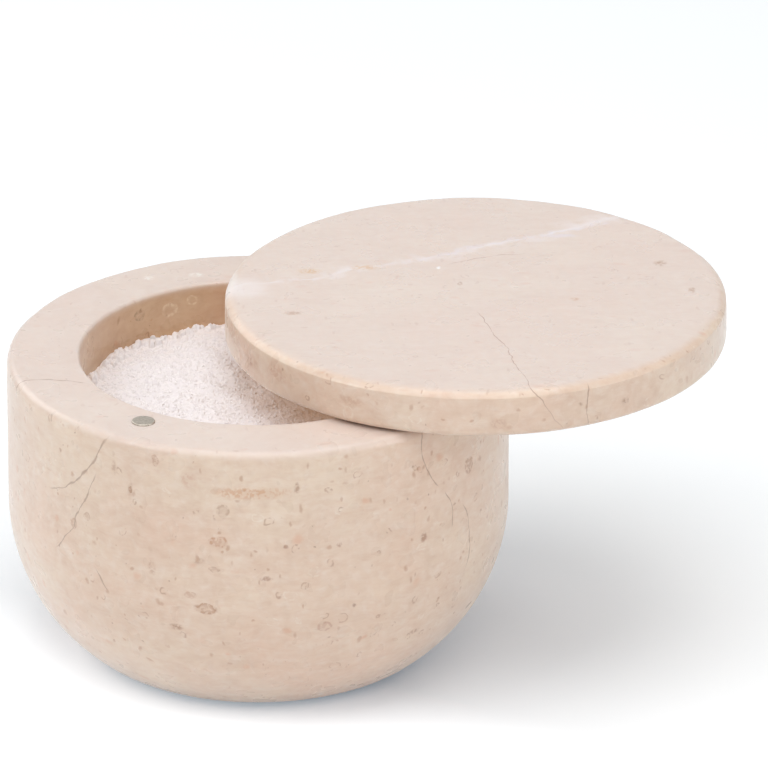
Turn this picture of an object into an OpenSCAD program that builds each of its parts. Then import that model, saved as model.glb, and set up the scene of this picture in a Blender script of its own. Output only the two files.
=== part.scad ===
// Stone salt cellar with a flat swivel lid, held shut by two small magnets.
// The origin is the centre of the foot on the table, +Z is up and -Y is the front.

/* [Bowl] */
// Outer diameter of the bowl
bowl_d = 110; // [90:1:140]
// Height of the stone, from its flat base to the rim
bowl_h = 68.5; // [55:0.5:90]
// Width of the flat rim, from the hollow to the outside
rim_w = 16; // [12:0.5:22]
// Thickness of the stone under the hollow
floor_t = 18.5; // [10:0.5:28]
// Radius where the hollow's straight wall turns into its floor
hollow_r = 14; // [6:0.5:20]
// Height above the base at which the straight side starts to curve in
belly_h = 35; // [28:0.5:40]
// How much longer the radius of the belly's curve is than that height
belly_flare = 6.5; // [1:0.5:12]
// Radius of the tighter curve that leads from the belly to the flat base
foot_r = 9; // [6:0.5:22]
// Rounding of the rim's outer edge
rim_outer_r = 2; // [0.5:0.1:4]
// Rounding of the rim's inner edge
rim_inner_r = 0.8; // [0.3:0.1:2]

/* [Lid] */
// Thickness of the lid
lid_t = 10.5; // [8:0.5:16]
// How far the closed lid reaches past the bowl all round
lid_overhang = 0; // [0:0.1:4]
// Rounding of the lid's upper edge
lid_top_r = 2.5; // [0.5:0.1:4]
// Rounding of the lid's lower edge
lid_under_r = 1.5; // [0.3:0.1:3]
// Angle from closed to the open position that is modelled, turning anticlockwise seen from above
lid_swing = 64.8; // [0:0.1:180]

/* [Pivot] */
// Direction of the pivot pin, seen from the bowl's axis
pivot_angle = 66.2; // [45:0.1:90]
// Diameter of the pin
pin_d = 3; // [2:0.1:4]
// Depth to which the pin is glued into the rim
pin_seat = 12; // [8:0.5:18]
// Outer diameter of the sleeve in the lid
bush_d = 6; // [5:0.1:8]
// Thickness of stone left above the sleeve
lid_cover = 3.5; // [2.5:0.1:5]
// Radial running clearance between pin and sleeve
run_gap = 0.05; // [0.02:0.01:0.1]
// Width of the groove near the pin's tip
groove_w = 1.2; // [0.8:0.1:1.6]
// Depth of that groove
groove_depth = 0.25; // [0.15:0.05:0.4]
// Outer diameter of the washer between rim and lid
washer_d = 9; // [7:0.5:10]
// Thickness of the washer, which is also the gap between rim and lid
washer_t = 0.5; // [0.4:0.1:1.5]

/* [Magnets] */
// Diameter of both magnets
magnet_d = 5; // [3:0.5:8]
// Thickness of both magnets
magnet_t = 2; // [1:0.5:4]
// Direction of the rim magnet, seen from the bowl's axis
magnet_angle = -122.7; // [-150:0.1:-90]
// How far the rim magnet stands above the rim
magnet_proud = 0.3; // [0:0.05:0.35]
// How far the lid magnet lies inside the lid's lower face
lid_magnet_recess = 0.1; // [0:0.05:0.5]
// Chamfer round both faces of a magnet
magnet_chamfer = 0.2; // [0.1:0.05:0.4]

/* [Foot pad] */
// Thickness of the non-slip pad
pad_t = 1; // [0.5:0.1:3]
// Distance that the pad's edge keeps from the edge of the flat base
pad_inset = 6; // [2:0.5:10]

/* [Salt] */
// Depth of the salt's edge below the rim
salt_drop = 10.5; // [6:0.5:20]
// Height of the heap's middle above its edge
salt_crown = 2; // [0.5:0.5:4]
// Height of the small mounds on the salt, from dip to top
mound_h = 1.2; // [0.2:0.1:2]
// Distance between neighbouring mounds
mound_pitch = 11; // [8:0.5:16]

/* [Hidden] */
$fn = 96;

// Where along the rim's width, from the hollow outwards, the pin and the magnets stand
pitch_share = 0.375;
// Thickness of the glue round the pin, the sleeve and the magnets
glue_gap = 0.05;
// Clearance of the washer's hole round the pin
washer_gap = 0.15;
// Chamfer on the pin's two ends and in the sleeve's mouth
pin_chamfer = 0.4;
// Room between the pin's tip and the stone above it
tip_gap = 0.3;
// Stretch of full diameter between the groove and the tip's chamfer
tip_land = 0.6;
// Side clearance of the sleeve's bead in the groove
bead_gap = 0.1;
// Rounding of the pad's lower edge
pad_edge_r = 0.4;
// How far the rows of mounds wander, in degrees of their own wave
mound_bend = 60;
// Mesh cells from one mound to the next
mound_cells = 4;
// Overrun of every cut
over = 1;

bowl_r = bowl_d / 2;
mouth_r = bowl_r - rim_w;
lid_r = bowl_r + lid_overhang;
rim_z = pad_t + bowl_h;
lid_z = rim_z + washer_t;
pitch_r = mouth_r + rim_w * pitch_share;
pivot = polar(pitch_r, pivot_angle);
magnet_place = polar(pitch_r, magnet_angle);

// The belly's arc ends where the foot's arc, which touches the base, runs on from it
belly_r = belly_h + belly_flare;
belly_sweep = asin((belly_h - foot_r) / (belly_r - foot_r));
belly_c = [bowl_r - belly_r, belly_h];
foot_c = belly_c + (belly_r - foot_r) * [cos(belly_sweep), -sin(belly_sweep)];

// Long enough for the cuts round the belly and the foot to clear the stone
reach = bowl_r + over;

bush_l = lid_t - lid_cover;
pin_r = pin_d / 2;
tip_z = lid_z + bush_l - tip_gap;
groove_top = tip_z - pin_chamfer - tip_land;

function polar(r, a) = [r * cos(a), r * sin(a)];

// Flat shape to take off a square corner so that it is rounded; out points away from the solid
module round_off(corner, r, out) {
    translate(corner - r * out)
        difference() {
            translate([min(0, out.x), min(0, out.y)] * (r + over)) square(r + over);
            circle(r);
        }
}

// Half outline of the outside of the bowl, from the axis outwards
module bowl_outline() {
    difference() {
        square([bowl_r, bowl_h]);
        round_off([bowl_r, bowl_h], rim_outer_r, [1, 1]);
        translate(belly_c) difference() {
            translate([0, -reach]) square(reach);
            circle(belly_r);
        }
        translate(foot_c) difference() {
            polygon([[0, 0], reach * [cos(belly_sweep), -sin(belly_sweep)], [0, -reach]]);
            circle(foot_r);
        }
    }
}

// Half outline of the hollow, with its rounded floor
module hollow_outline() {
    difference() {
        translate([0, floor_t]) square([mouth_r, bowl_h - floor_t + over]);
        round_off([mouth_r, floor_t], hollow_r, [1, -1]);
    }
}

// Disc magnet, standing on z = 0
module magnet() {
    color("silver") rotate_extrude() difference() {
        square([magnet_d / 2, magnet_t]);
        for (z = [0, magnet_t])
            translate([magnet_d / 2, z]) rotate(45)
                square(magnet_chamfer * sqrt(2), center = true);
    }
}

// Blind pocket for a magnet, sunk from z = 0 downwards
module magnet_pocket(depth) {
    translate([0, 0, -depth]) cylinder(r = magnet_d / 2 + glue_gap, h = depth + over);
}

// Turns what belongs to the lid from closed to where it stands
module swung() {
    translate(pivot) rotate(lid_swing) translate(-pivot) children();
}

module bowl() {
    color("#dcc8b6") difference() {
        translate([0, 0, pad_t]) rotate_extrude() difference() {
            bowl_outline();
            hollow_outline();
            round_off([mouth_r, bowl_h], rim_inner_r, [-1, 1]);
        }
        translate([pivot.x, pivot.y, rim_z - pin_seat])
            cylinder(r = pin_r + glue_gap, h = pin_seat + over);
        translate([magnet_place.x, magnet_place.y, rim_z])
            magnet_pocket(magnet_t - magnet_proud);
    }
}

module lid() {
    color("#e2d0c0") swung() difference() {
        translate([0, 0, lid_z]) rotate_extrude() difference() {
            square([lid_r, lid_t]);
            round_off([lid_r, lid_t], lid_top_r, [1, 1]);
            round_off([lid_r, 0], lid_under_r, [1, -1]);
        }
        translate([pivot.x, pivot.y, lid_z - over])
            cylinder(r = bush_d / 2 + glue_gap, h = bush_l + over);
        translate([magnet_place.x, magnet_place.y, lid_z])
            mirror([0, 0, 1]) magnet_pocket(magnet_t + lid_magnet_recess);
    }
}

module rim_magnet() {
    translate([magnet_place.x, magnet_place.y, rim_z + magnet_proud - magnet_t]) magnet();
}

module lid_magnet() {
    swung() translate([magnet_place.x, magnet_place.y, lid_z + lid_magnet_recess]) magnet();
}

// Steel pin with chamfered ends and a groove that keeps the sleeve from lifting off
module pivot_pin() {
    color("gainsboro") translate([pivot.x, pivot.y, 0]) rotate_extrude() difference() {
        polygon([[0, rim_z - pin_seat], [pin_r - pin_chamfer, rim_z - pin_seat],
                 [pin_r, rim_z - pin_seat + pin_chamfer], [pin_r, tip_z - pin_chamfer],
                 [pin_r - pin_chamfer, tip_z], [0, tip_z]]);
        translate([pin_r - groove_depth, groove_top - groove_w])
            square([groove_depth + over, groove_w]);
    }
}

// Sleeve in the lid, with a bead inside it that runs in the pin's groove
module lid_bush() {
    color("ivory") swung() translate([pivot.x, pivot.y, 0]) rotate_extrude() {
        difference() {
            translate([pin_r + run_gap, lid_z]) square([bush_d / 2 - pin_r - run_gap, bush_l]);
            translate([pin_r + run_gap, lid_z]) rotate(45)
                square(pin_chamfer * sqrt(2), center = true);
        }
        translate([pin_r - groove_depth + run_gap, groove_top - groove_w + bead_gap])
            square([bush_d / 2 - pin_r, groove_w - 2 * bead_gap]);
    }
}

module pivot_washer() {
    color("white") translate([pivot.x, pivot.y, rim_z]) rotate_extrude()
        translate([pin_r + washer_gap, 0])
            square([washer_d / 2 - pin_r - washer_gap, washer_t]);
}

// Thin disc under the flat base, kept inside its edge
module foot_pad() {
    color("dimgray") rotate_extrude() difference() {
        square([foot_c.x - pad_inset, pad_t]);
        round_off([foot_c.x - pad_inset, 0], pad_edge_r, [1, -1]);
    }
}

// Height of the salt above the bowl's base: a low crown with mounds in bent, crossing rows
function salt_level(x, y) =
    let (turn = 360 / (mound_pitch * sqrt(2)))
    bowl_h - salt_drop + salt_crown * (1 - (x * x + y * y) / (mouth_r * mouth_r))
    + mound_h / 2 * sin(turn * x + mound_bend * sin(turn * y / 2))
                  * cos(turn * y + mound_bend * cos(turn * x / 2));

// Square block with the salt's surface on top, wide enough to clear the hollow
module salt_block() {
    step = mound_pitch / mound_cells;
    n = ceil((mouth_r + over) / step);
    row = 2 * n + 1;
    surface = [for (j = [-n:n]) for (i = [-n:n]) [i * step, j * step, salt_level(i * step, j * step)]];
    corners = [for (p = [[-n, -n], [n, -n], [n, n], [-n, n]]) [p.x * step, p.y * step, 0]];
    low = row * row;
    cells = [for (j = [0:row - 2]) for (i = [0:row - 2]) j * row + i];
    polyhedron(points = concat(surface, corners), faces = concat(
        [for (c = cells) [c, c + row, c + 1]],
        [for (c = cells) [c + 1, c + row, c + row + 1]],
        [[low, low + 1, low + 2, low + 3]],
        [concat([low + 1, low], [for (i = [0:row - 1]) i])],
        [concat([low + 2, low + 1], [for (j = [1:row]) j * row - 1])],
        [concat([low + 3, low + 2], [for (i = [1:row]) low - i])],
        [concat([low, low + 3], [for (j = [1:row]) low - j * row])]));
}

// Salt that fills the hollow up to that surface
module salt() {
    color("snow") translate([0, 0, pad_t]) intersection() {
        rotate_extrude() hollow_outline();
        salt_block();
    }
}

bowl();
lid();
rim_magnet();
lid_magnet();
pivot_pin();
lid_bush();
pivot_washer();
foot_pad();
salt();
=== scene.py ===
import math
import random

import bmesh
import bpy
from mathutils import Matrix, Vector, noise


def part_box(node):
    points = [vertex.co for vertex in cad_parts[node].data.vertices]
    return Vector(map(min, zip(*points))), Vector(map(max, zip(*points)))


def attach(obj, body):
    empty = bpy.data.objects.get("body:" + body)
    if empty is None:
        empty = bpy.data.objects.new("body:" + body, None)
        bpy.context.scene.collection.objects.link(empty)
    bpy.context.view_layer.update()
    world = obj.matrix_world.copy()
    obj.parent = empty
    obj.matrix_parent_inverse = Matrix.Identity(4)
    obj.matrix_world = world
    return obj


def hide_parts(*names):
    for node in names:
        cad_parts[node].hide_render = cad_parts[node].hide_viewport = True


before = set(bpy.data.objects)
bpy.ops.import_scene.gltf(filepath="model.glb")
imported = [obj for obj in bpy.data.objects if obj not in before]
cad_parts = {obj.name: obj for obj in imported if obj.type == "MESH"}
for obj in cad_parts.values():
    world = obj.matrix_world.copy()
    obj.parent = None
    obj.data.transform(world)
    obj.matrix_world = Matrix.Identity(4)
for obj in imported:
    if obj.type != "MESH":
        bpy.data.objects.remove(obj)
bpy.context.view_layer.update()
print("frame loaded, nodes:", ", ".join(sorted(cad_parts)))

mm = 0.001
weldWithin = 0.002 * mm    # vertices nearer than this are one
levelWithin = 0.01 * mm    # heights nearer than this are the same
sharpTurn = 35             # an edge that turns more than this stays sharp, degrees
meanWear = 0.5             # share of the depth that is rubbed off on average; noise is added to it


# Colour from an sRGB hex text to Blender's linear values
def toLinear(hexText):
    parts = [int(hexText[i:i + 2], 16) / 255 for i in (1, 3, 5)]
    return [p / 12.92 if p <= 0.04045 else ((p + 0.055) / 1.055) ** 2.4 for p in parts] + [1.0]


# Adds a node; an input is a value, or the output socket that it is linked to
def addNode(tree, kind, inputs=None, **settings):
    node = tree.nodes.new(kind)
    for name, value in settings.items():
        setattr(node, name, value)
    for socket, value in (inputs or {}).items():
        if isinstance(value, bpy.types.NodeSocket):
            tree.links.new(value, node.inputs[socket])
        else:
            node.inputs[socket].default_value = value
    return node


def newMaterial(name):
    material = bpy.data.materials.new(name)
    material.use_nodes = True
    material.node_tree.nodes.clear()
    return material, material.node_tree


# Ends a material: a Principled shader with these inputs, joined to the output
def finishMaterial(tree, inputs):
    shader = addNode(tree, "ShaderNodeBsdfPrincipled", inputs)
    addNode(tree, "ShaderNodeOutputMaterial", {"Surface": shader.outputs["BSDF"]})


# Object coordinates in millimetres
def piecePoint(tree):
    place = addNode(tree, "ShaderNodeTexCoord")
    scaled = addNode(tree, "ShaderNodeMapping", {"Vector": place.outputs["Object"], "Scale": (1 / mm,) * 3})
    return scaled.outputs[0]


# Pushes a point about by one wave after another, each given by its size and twice its furthest push
def wavyPoint(tree, point, waves):
    for size, reach in waves:
        wave = addNode(tree, "ShaderNodeTexNoise", {"Vector": point, "Scale": 1 / size, "Detail": 1.0})
        centred = addNode(tree, "ShaderNodeVectorMath", {
            0: wave.outputs["Color"], 1: (0.5, 0.5, 0.5)}, operation="SUBTRACT")
        pushed = addNode(tree, "ShaderNodeVectorMath", {
            0: centred.outputs[0], 1: (reach,) * 3, 2: point}, operation="MULTIPLY_ADD")
        point = pushed.outputs[0]
    return point


# 0 to 1 where noise of this size runs from low to high
def cloudMask(tree, point, size, low, high, detail=3.0, shift=(0, 0, 0), stretch=(1, 1, 1)):
    moved = addNode(tree, "ShaderNodeMapping", {
        "Vector": point, "Location": shift, "Scale": [s / size for s in stretch]})
    cloud = addNode(tree, "ShaderNodeTexNoise", {"Vector": moved.outputs[0], "Scale": 1.0, "Detail": detail})
    mask = addNode(tree, "ShaderNodeMapRange", {
        "Value": cloud.outputs["Fac"], "From Min": low, "From Max": high}, interpolation_type="SMOOTHSTEP")
    return mask.outputs[0]


# Cells in the stone: how far a point is from its cell's middle, and the cell's three random numbers
def stoneCells(tree, point, cell, stretch, turn=(0, 0, 0)):
    turned = addNode(tree, "ShaderNodeMapping", {
        "Vector": point, "Rotation": turn, "Scale": [s / cell for s in stretch]})
    cells = addNode(tree, "ShaderNodeTexVoronoi", {"Vector": turned.outputs[0], "Scale": 1.0})
    split = addNode(tree, "ShaderNodeSeparateColor", {"Color": cells.outputs["Color"]})
    return cells.outputs["Distance"], split.outputs


# How the marks in the stone are drawn, in millimetres. Waves are (size, twice the furthest push), and
# patches (size, from, to, detail). A mark's core is the share of its radius within which it is whole.
marks = {
    "blockWaves": [(7.0, 2.6)],
    "fineWaves": [(1.1, 0.6)],
    "shellWaves": [(1.8, 1.1)],
    "crackWaves": [(7.0, 2.4), (2.2, 0.6)],
    "veinWaves": [(8.0, 4.5), (2.6, 1.1)],
    "wispWaves": [(8.0, 5.0), (1.6, 0.9)],
    "spotWaves": [(1.6, 0.9)],
    "clouds": {"detail": 4.0, "away": (1.0, 0.7, -1.0)},  # away is where a shift of 1 leads
    "beds": {"detail": 3.0, "away": (1.0, -1.0, 0.3)},
    "richPatch": (13.0, 0.28, 0.52, 2.0),
    "fleckLeast": 0.4,     # a fleck's radius runs from this share of its size to one size more
    "fleckCore": 0.3,
    "shellPatch": (1.1, 0.42, 0.60, 1.0),
    "crackPatch": (2.6, 0.3, 0.7, 2.0),
    "crackLeast": 0.4,     # and so does a crack's half width
    "crackCore": 0.1,
    "crackFade": 0.25,     # share of its half length over which it runs out
    "crackBump": 0.3,
    "crackDepth": 0.03,
    "veinWidth": (0.35, 0.7, 2.0),
    "veinWisps": (0.34, 0.62, 4.0),
    "veinFade": 0.12,
    "ringFrom": 0.4,       # a ring is pale up to here and whole from ringTo to ringCore, as shares
    "ringTo": 0.8,
    "ringCore": 0.75,
    "spotCore": 0.3,
    "crumbPatch": (0.8, 0.40, 0.58, 1.0),
    "crumbLeast": 0.25,    # what is left of a spot between the crumbs
    "waxPatch": (6.0, 0.3, 0.7, 2.0),
}


# Scattered flecks: one to a cell at most, and only in the given share of the cells
def fleckMask(tree, point, cell, size, share, turn, stretch):
    distance, lots = stoneCells(tree, point, cell, stretch, turn)
    chosen = addNode(tree, "ShaderNodeMath", {0: lots[0], 1: share}, operation="LESS_THAN")
    grown = addNode(tree, "ShaderNodeMath", {
        0: lots[1], 1: size / cell, 2: marks["fleckLeast"] * size / cell}, operation="MULTIPLY_ADD")
    near = addNode(tree, "ShaderNodeMath", {0: distance, 1: grown.outputs[0]}, operation="DIVIDE")
    mask = addNode(tree, "ShaderNodeMapRange", {
        "Value": near.outputs[0], "From Min": 1.0, "From Max": marks["fleckCore"]},
        interpolation_type="SMOOTHSTEP")
    both = addNode(tree, "ShaderNodeMath", {0: mask.outputs[0], 1: chosen.outputs[0]}, operation="MULTIPLY")
    return both.outputs[0]


# Thin rings and arcs, the cut outlines of small shells
def shellMask(tree, point, cell, radius, width, share, stretch):
    distance, lots = stoneCells(tree, point, cell, stretch)
    chosen = addNode(tree, "ShaderNodeMath", {0: lots[2], 1: share}, operation="LESS_THAN")
    off = addNode(tree, "ShaderNodeMath", {0: distance, 1: radius / cell}, operation="SUBTRACT")
    size = addNode(tree, "ShaderNodeMath", {0: off.outputs[0]}, operation="ABSOLUTE")
    mask = addNode(tree, "ShaderNodeMapRange", {
        "Value": size.outputs[0], "From Min": width / cell, "From Max": 0.0}, interpolation_type="SMOOTHSTEP")
    both = addNode(tree, "ShaderNodeMath", {0: mask.outputs[0], 1: chosen.outputs[0]}, operation="MULTIPLY")
    return both.outputs[0]


# A crack or vein is a thin bent sheet in the stone, so it runs on over an edge. It passes through
# three points on the surface and goes in along the direction inward.
def sheetDistance(tree, point, points, inward):
    a, b, c = [Vector(p) for p in points]
    centre, half = (a + c) / 2, (c - a).length / 2
    along = (c - a).normalized()
    across = along.cross(Vector(inward)).normalized()
    bent = (b - centre).dot(across) / (1 - ((b - centre).dot(along) / half) ** 2)
    moved = addNode(tree, "ShaderNodeVectorMath", {0: point, 1: centre}, operation="SUBTRACT")
    step = addNode(tree, "ShaderNodeVectorMath", {
        0: moved.outputs[0], 1: along / half}, operation="DOT_PRODUCT")
    side = addNode(tree, "ShaderNodeVectorMath", {0: moved.outputs[0], 1: across}, operation="DOT_PRODUCT")
    square = addNode(tree, "ShaderNodeMath", {
        0: step.outputs["Value"], 1: step.outputs["Value"]}, operation="MULTIPLY")
    bow = addNode(tree, "ShaderNodeMath", {0: square.outputs[0], 1: bent, 2: -bent}, operation="MULTIPLY_ADD")
    off = addNode(tree, "ShaderNodeMath", {0: side.outputs["Value"], 1: bow.outputs[0]}, operation="ADD")
    size = addNode(tree, "ShaderNodeMath", {0: off.outputs[0]}, operation="ABSOLUTE")
    return size.outputs[0]


# 1 near the middle of the outer two points, fading to 0 at them
def reachMask(tree, point, points, fade):
    first, last = Vector(points[0]), Vector(points[2])
    centre, reach = (first + last) / 2, (first - last).length / 2
    away = addNode(tree, "ShaderNodeVectorMath", {0: point, 1: centre}, operation="DISTANCE")
    mask = addNode(tree, "ShaderNodeMapRange", {
        "Value": away.outputs["Value"], "From Min": reach, "From Max": reach * (1 - fade)},
        interpolation_type="SMOOTHSTEP")
    return mask.outputs[0]


# A healed crack: a fine line whose width comes and goes
def crackMask(tree, point, crack):
    off = sheetDistance(tree, point, crack["points"], crack["inward"])
    patchy = cloudMask(tree, point, *marks["crackPatch"])
    wide = addNode(tree, "ShaderNodeMath", {
        0: patchy, 1: crack["width"], 2: marks["crackLeast"] * crack["width"]}, operation="MULTIPLY_ADD")
    near = addNode(tree, "ShaderNodeMath", {0: off, 1: wide.outputs[0]}, operation="DIVIDE")
    line = addNode(tree, "ShaderNodeMapRange", {
        "Value": near.outputs[0], "From Min": 1.0, "From Max": marks["crackCore"]},
        interpolation_type="SMOOTHSTEP")
    ends = reachMask(tree, point, crack["points"], marks["crackFade"])
    both = addNode(tree, "ShaderNodeMath", {0: line.outputs[0], 1: ends}, operation="MULTIPLY")
    return both.outputs[0]


# A pale vein: a soft band whose width comes and goes, torn into wisps
def veinMask(tree, point, block, looser, ragged, vein):
    off = sheetDistance(tree, looser, vein["points"], vein["inward"])
    width = cloudMask(tree, block, vein["patch"], *marks["veinWidth"])
    wide = addNode(tree, "ShaderNodeMath", {
        0: width, 1: vein["width"], 2: vein["thin"]}, operation="MULTIPLY_ADD")
    near = addNode(tree, "ShaderNodeMath", {0: off, 1: wide.outputs[0]}, operation="DIVIDE")
    band = addNode(tree, "ShaderNodeMapRange", {
        "Value": near.outputs[0], "From Min": 1.0, "From Max": 0.0}, interpolation_type="SMOOTHSTEP")
    wisps = cloudMask(tree, ragged, vein["wisp"], *marks["veinWisps"])
    torn = addNode(tree, "ShaderNodeMath", {0: band.outputs[0], 1: wisps}, operation="MULTIPLY")
    ends = reachMask(tree, point, vein["points"], marks["veinFade"])
    both = addNode(tree, "ShaderNodeMath", {0: torn.outputs[0], 1: ends}, operation="MULTIPLY")
    return both.outputs[0]


# One oval spot at a chosen place; a ring is paler in the middle
def spotMask(tree, point, place, size, ring):
    moved = addNode(tree, "ShaderNodeVectorMath", {0: point, 1: place}, operation="SUBTRACT")
    scaled = addNode(tree, "ShaderNodeVectorMath", {
        0: moved.outputs[0], 1: [1 / s for s in size]}, operation="MULTIPLY")
    away = addNode(tree, "ShaderNodeVectorMath", {0: scaled.outputs[0]}, operation="LENGTH")
    mask = addNode(tree, "ShaderNodeMapRange", {
        "Value": away.outputs["Value"], "From Min": 1.0,
        "From Max": marks["ringCore" if ring > 0 else "spotCore"]}, interpolation_type="SMOOTHSTEP")
    if ring > 0:
        core = addNode(tree, "ShaderNodeMapRange", {
            "Value": away.outputs["Value"], "From Min": marks["ringFrom"], "From Max": marks["ringTo"],
            "To Min": 1 - ring}, interpolation_type="SMOOTHSTEP")
        mask = addNode(tree, "ShaderNodeMath", {0: mask.outputs[0], 1: core.outputs[0]}, operation="MULTIPLY")
    return mask.outputs[0]


# Lays a colour over another where the mask says
def overlay(tree, under, colour, mask, strength):
    weaker = addNode(tree, "ShaderNodeMath", {0: mask, 1: strength}, operation="MULTIPLY")
    mixed = addNode(tree, "ShaderNodeMix", {
        0: weaker.outputs[0], 6: under, 7: toLinear(colour)}, data_type="RGBA")
    return mixed.outputs[2]


# 1 on the wall of the hollow, from below its rounded mouth down to its floor, where its shade is painted
def hollowShadeMask(tree, point, hollow):
    parts = addNode(tree, "ShaderNodeSeparateXYZ", {"Vector": point})
    flat = addNode(tree, "ShaderNodeCombineXYZ", {"X": parts.outputs[0], "Y": parts.outputs[1]})
    away = addNode(tree, "ShaderNodeVectorMath", {0: flat.outputs[0]}, operation="LENGTH")
    within = addNode(tree, "ShaderNodeMath", {
        0: away.outputs["Value"], 1: hollow["radius"]}, operation="LESS_THAN")
    below = addNode(tree, "ShaderNodeMapRange", {
        "Value": parts.outputs[2], "From Min": hollow["top"], "From Max": hollow["top"] - hollow["fade"]})
    above = addNode(tree, "ShaderNodeMath", {
        0: parts.outputs[2], 1: hollow["bottom"]}, operation="GREATER_THAN")
    both = addNode(tree, "ShaderNodeMath", {0: within.outputs[0], 1: below.outputs[0]}, operation="MULTIPLY")
    wall = addNode(tree, "ShaderNodeMath", {0: both.outputs[0], 1: above.outputs[0]}, operation="MULTIPLY")
    return wall.outputs[0]


# What is the same all over the rubbed and waxed stone
marbleSurface = {
    "IOR": 1.5, "Sheen Weight": 0.3, "Sheen Roughness": 0.4, "Coat Weight": 0.2, "Coat Roughness": 0.24,
    "Subsurface Weight": 0.12, "Subsurface Radius": (1.0, 0.7, 0.5), "Subsurface Scale": 2.0 * mm,
}


# Compact fossil limestone sold as cream marble, turned, then rubbed and waxed to a soft shine:
# a warm beige body, finely bedded, with rosy and creamy clouds, small tan shell fragments and healed cracks.
def creamMarble(name, stone):
    material, tree = newMaterial(name)
    point = piecePoint(tree)
    # Each piece is cut from another place in the block
    block = addNode(tree, "ShaderNodeMapping", {"Vector": point, "Location": stone["blockShift"]}).outputs[0]
    bent = wavyPoint(tree, block, marks["blockWaves"])
    fine = wavyPoint(tree, bent, marks["fineWaves"])
    colour = toLinear(stone["body"])

    for kind, stretch in (("clouds", (1, 1, 1)), ("beds", stone["bedStretch"])):
        for tint, size, low, high, strength, shift in stone[kind]:
            away = [a * shift for a in marks[kind]["away"]]
            mask = cloudMask(tree, bent, size, low, high, marks[kind]["detail"], away, stretch)
            colour = overlay(tree, colour, tint, mask, strength)

    # Fragments lie in richer and poorer patches, and shell outlines are broken
    rich = cloudMask(tree, block, *marks["richPatch"])
    for tint, cell, size, share, turn, stretch, strength in stone["flecks"]:
        fleck = fleckMask(tree, fine, cell, size, share, turn, stretch)
        mask = addNode(tree, "ShaderNodeMath", {0: fleck, 1: rich}, operation="MULTIPLY").outputs[0]
        colour = overlay(tree, colour, tint, mask, strength)
    curled = wavyPoint(tree, fine, marks["shellWaves"])
    broken = cloudMask(tree, fine, *marks["shellPatch"])
    for tint, cell, radius, width, share, stretch, strength in stone["shells"]:
        shell = shellMask(tree, curled, cell, radius, width, share, stretch)
        mask = addNode(tree, "ShaderNodeMath", {0: shell, 1: broken}, operation="MULTIPLY").outputs[0]
        colour = overlay(tree, colour, tint, mask, strength)

    # Painted highlight: the flat tops and their rounded edges are painted paler than the turned sides,
    # standing in for the whitish sheen that light leaves on them
    height = addNode(tree, "ShaderNodeSeparateXYZ", {"Vector": point})
    paintedPaleTop = addNode(tree, "ShaderNodeMapRange", {
        "Value": height.outputs[2], "From Min": stone["paintedPaleTopFrom"], "From Max": stone["paintedPaleTopTo"]})
    colour = overlay(tree, colour, stone["paintedPaleTopTint"], paintedPaleTop.outputs[0], stone["paintedPaleTopStrength"])

    looser = wavyPoint(tree, point, marks["veinWaves"])
    ragged = wavyPoint(tree, point, marks["wispWaves"])
    for vein in stone["veins"]:
        mask = veinMask(tree, point, block, looser, ragged, vein)
        colour = overlay(tree, colour, vein["tint"], mask, vein["strength"])
    frayed = wavyPoint(tree, point, marks["spotWaves"])
    crumbs = addNode(tree, "ShaderNodeMapRange", {
        "Value": cloudMask(tree, fine, *marks["crumbPatch"]), "To Min": marks["crumbLeast"]})
    for tint, place, size, strength, ring in stone["spots"]:
        mask = spotMask(tree, frayed, place, size, ring)
        if ring >= 0:
            mask = addNode(tree, "ShaderNodeMath", {
                0: mask, 1: crumbs.outputs[0]}, operation="MULTIPLY").outputs[0]
        colour = overlay(tree, colour, tint, mask, strength)
    wavy = wavyPoint(tree, point, marks["crackWaves"])
    cracks = [crackMask(tree, wavy, crack) for crack in stone["cracks"]]
    cracked = cracks[0]
    for crack in cracks[1:]:
        cracked = addNode(tree, "ShaderNodeMath", {0: cracked, 1: crack}, operation="MAXIMUM").outputs[0]
    colour = overlay(tree, colour, stone["crackTint"], cracked, stone["crackStrength"])

    # Painted shade: a warmer, darker tint is multiplied over the hollow's wall, standing in for the shade and
    # the warm bounce light inside it
    if stone["hollow"]:
        mask = hollowShadeMask(tree, point, stone["hollow"])
        paintedHollowShade = addNode(tree, "ShaderNodeMix", {0: mask, 6: colour, 7: toLinear(stone["hollow"]["tint"])},
                       data_type="RGBA", blend_type="MULTIPLY")
        colour = paintedHollowShade.outputs[2]

    wax = cloudMask(tree, bent, *marks["waxPatch"])
    rough = addNode(tree, "ShaderNodeMapRange", {
        "Value": wax, "To Min": stone["roughLow"], "To Max": stone["roughHigh"]})
    dents = addNode(tree, "ShaderNodeMath", {0: cracked, 1: -1.0}, operation="MULTIPLY")
    bump = addNode(tree, "ShaderNodeBump", {
        "Height": dents.outputs[0], "Strength": marks["crackBump"], "Distance": marks["crackDepth"] * mm})
    finishMaterial(tree, dict(marbleSurface, **{
        "Base Color": colour, "Roughness": rough.outputs[0], "Normal": bump.outputs[0]}))
    return material


# Outline of a lathe, walked in the X-Z plane in millimetres
def startOutline(bm, point):
    return bm.verts.new((point[0] * mm, 0, point[1] * mm))


def lineTo(bm, vert, point, step):
    start, end = vert.co.copy(), Vector((point[0] * mm, 0, point[1] * mm))
    count = max(1, round((end - start).length / (step * mm)))
    for i in range(count):
        vert = bmesh.ops.extrude_vert_indiv(bm, verts=[vert])["verts"][0]
        vert.co = start.lerp(end, (i + 1) / count)
    return vert


def arcTo(bm, vert, centre, angle, steps):
    swept = bmesh.ops.spin(bm, geom=[vert], cent=(centre[0] * mm, 0, centre[1] * mm), axis=(0, -1, 0),
                           angle=math.radians(angle), steps=steps)
    return [g for g in swept["geom_last"] if isinstance(g, bmesh.types.BMVert)][0]


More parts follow.
